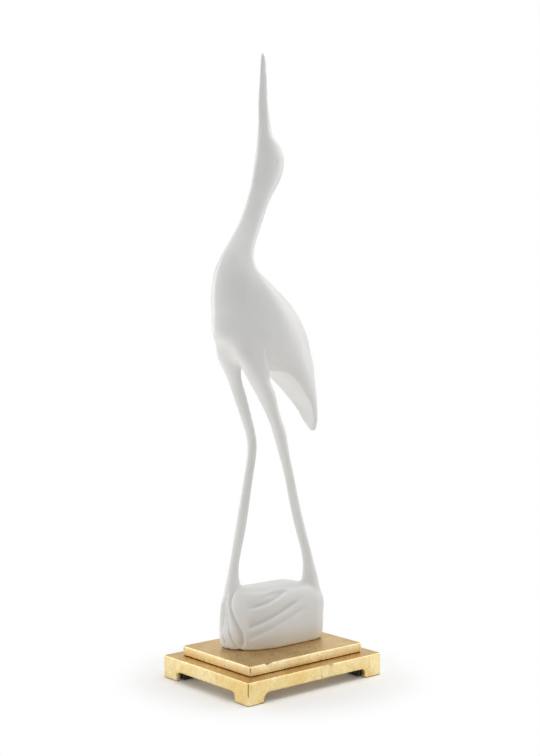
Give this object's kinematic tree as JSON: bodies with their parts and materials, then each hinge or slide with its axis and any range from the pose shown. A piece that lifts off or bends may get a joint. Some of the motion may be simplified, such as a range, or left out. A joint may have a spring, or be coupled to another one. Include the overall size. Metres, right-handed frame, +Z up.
{
  "type": "crane figurine on stand",
  "caption": "Standing crane figure with upstretched beak, long legs and carved rock, cast in white and screwed to a gilded two-tier stand with bracket feet.",
  "frame": {"origin": "centre of the stand's underside, on the surface that it stands on", "axes": "+Z up along the bird's height, +X along the stand's long side towards the bird's tail, so the bird faces -X and its left side is -Y"},
  "size_m": [0.203, 0.157, 0.7274],
  "materials": {
    "white_casting": "satin gloss, off-white cast resin, hand smoothed",
    "gilt_wood": "gold leaf over a dark red ground, burnished, lightly rubbed at the edges",
    "dark_wood": "stained nearly black, matt",
    "screw_steel": "plain turned steel"
  },
  "bodies": {
    "root": {"crane_figure": "white_casting", "top_slab": "gilt_wood", "deck_panel": "gilt_wood", "apron_left": "gilt_wood", "apron_right": "gilt_wood", "apron_front": "gilt_wood", "apron_tail": "gilt_wood", "corner_block_front_left": "dark_wood", "corner_block_front_right": "dark_wood", "corner_block_tail_left": "dark_wood", "corner_block_tail_right": "dark_wood", "figure_screw_front": "screw_steel", "figure_screw_tail": "screw_steel", "washer_front": "screw_steel", "washer_tail": "screw_steel"}
  },
  "joints": []
}
